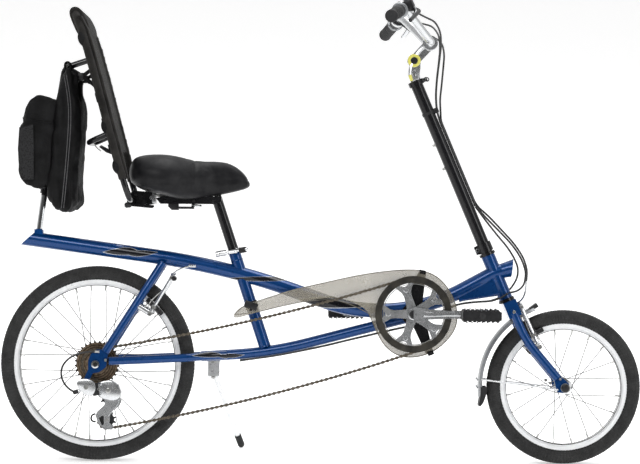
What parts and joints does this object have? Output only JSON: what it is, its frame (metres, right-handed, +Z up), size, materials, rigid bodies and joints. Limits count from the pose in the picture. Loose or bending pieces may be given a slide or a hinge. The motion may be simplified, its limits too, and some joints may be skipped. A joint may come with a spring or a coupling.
{
  "type": "semi-recumbent bicycle",
  "caption": "Low semi-recumbent bicycle with a reclined mesh backrest, wide saddle, tall handlebar post, small wheels, chain drive and side stand, leaning as it parks.",
  "frame": {"origin": "centre of the whole bicycle's footprint box, on the ground", "axes": "+X forward, +Y to the bicycle's left, +Z up; the bicycle leans to its left about X"},
  "size_m": [1.655, 0.6092, 1.188],
  "materials": {
    "blue_paint": "gloss",
    "black_paint": "gloss",
    "yellow_paint": "gloss",
    "alloy": "satin",
    "chrome": "polished",
    "steel": "satin",
    "bronze": "satin",
    "tyre": "matte",
    "rubber": "matte",
    "black_plastic": "satin",
    "silver_plastic": "satin",
    "smoke_plastic": "satin",
    "vinyl": "satin",
    "mesh": "matte",
    "bag_fabric": "matte",
    "cable": "satin"
  },
  "bodies": {
    "frame": {"main_tube": "blue_paint", "lower_tube": "blue_paint", "seat_tube": "blue_paint", "head_tube": "blue_paint", "head_gusset": "blue_paint", "bottom_bracket_shell": "blue_paint", "seat_stays": "blue_paint", "chain_stays": "blue_paint", "dropouts": "blue_paint", "rear_axle": "steel", "seat_post": "black_paint", "seat_clamp": "chrome", "seat_carrier": "black_paint", "saddle": "vinyl", "backrest_frame": "black_paint", "backrest_panel": "mesh", "back_strut": "chrome", "tall_bag": "bag_fabric", "rear_bag": "bag_fabric", "rear_brake": "alloy", "rear_derailleur": "alloy", "pulleys": "black_plastic", "freewheel": "bronze", "chain": "steel", "chain_guard": "smoke_plastic", "guard_bracket": "black_paint", "stand_bracket": "alloy", "frame_cables": "cable"},
    "fork": {"fork": "blue_paint", "steering_collars": "black_paint", "riser": "black_paint", "stem": "alloy", "stem_hub": "yellow_paint", "handlebar": "alloy", "grips": "rubber", "brake_levers": "black_plastic", "front_brake": "alloy", "front_fender": "silver_plastic", "fender_flap": "rubber", "fender_stays": "alloy", "front_axle": "steel", "bar_cables": "cable", "steering_cables": "cable"},
    "rear_wheel": {"rear_tyre": "tyre", "rear_rim": "alloy", "rear_spokes": "alloy", "rear_hub": "alloy"},
    "front_wheel": {"front_tyre": "tyre", "front_rim": "alloy", "front_spokes": "alloy", "front_hub": "alloy"},
    "crank": {"right_crank": "alloy", "left_crank": "alloy", "chainring": "alloy", "ring_guard": "black_plastic"},
    "right_pedal": {"right_pedal": "black_plastic"},
    "left_pedal": {"left_pedal": "black_plastic"},
    "stand": {"stand_leg": "alloy", "stand_foot": "rubber"}
  },
  "joints": [
    {"name": "rear_wheel_spin", "type": "hinge", "parent": "frame", "child": "rear_wheel", "pos_m": [-0.5765, -0.13135, 0.24883], "axis": [0, 0.989, -0.1478], "continuous": true},
    {"name": "steering", "type": "hinge", "parent": "frame", "child": "fork", "pos_m": [0.58343, -0.14188, 0.17839], "axis": [-0.3923, 0.136, 0.9097], "range_deg": [-40, 40], "deforming": ["steering_cables"]},
    {"name": "front_wheel_spin", "type": "hinge", "parent": "fork", "child": "front_wheel", "pos_m": [0.6285, -0.13904, 0.1974], "axis": [0, 0.989, -0.1478], "continuous": true},
    {"name": "crank_spin", "type": "hinge", "parent": "frame", "child": "crank", "pos_m": [0.238, -0.11154, 0.38136], "axis": [0, 0.989, -0.1478], "continuous": true},
    {"name": "right_pedal_spin", "type": "hinge", "parent": "crank", "child": "right_pedal", "pos_m": [0.408, -0.11154, 0.38136], "axis": [0, 0.989, -0.1478], "continuous": true},
    {"name": "left_pedal_spin", "type": "hinge", "parent": "crank", "child": "left_pedal", "pos_m": [0.068, -0.11154, 0.38136], "axis": [0, 0.989, -0.1478], "continuous": true},
    {"name": "stand_fold", "type": "hinge", "parent": "frame", "child": "stand", "pos_m": [-0.2775, -0.08985, 0.21533], "axis": [0.0869, 0.9285, 0.3611], "range_deg": [0, 104.7]}
  ]
}
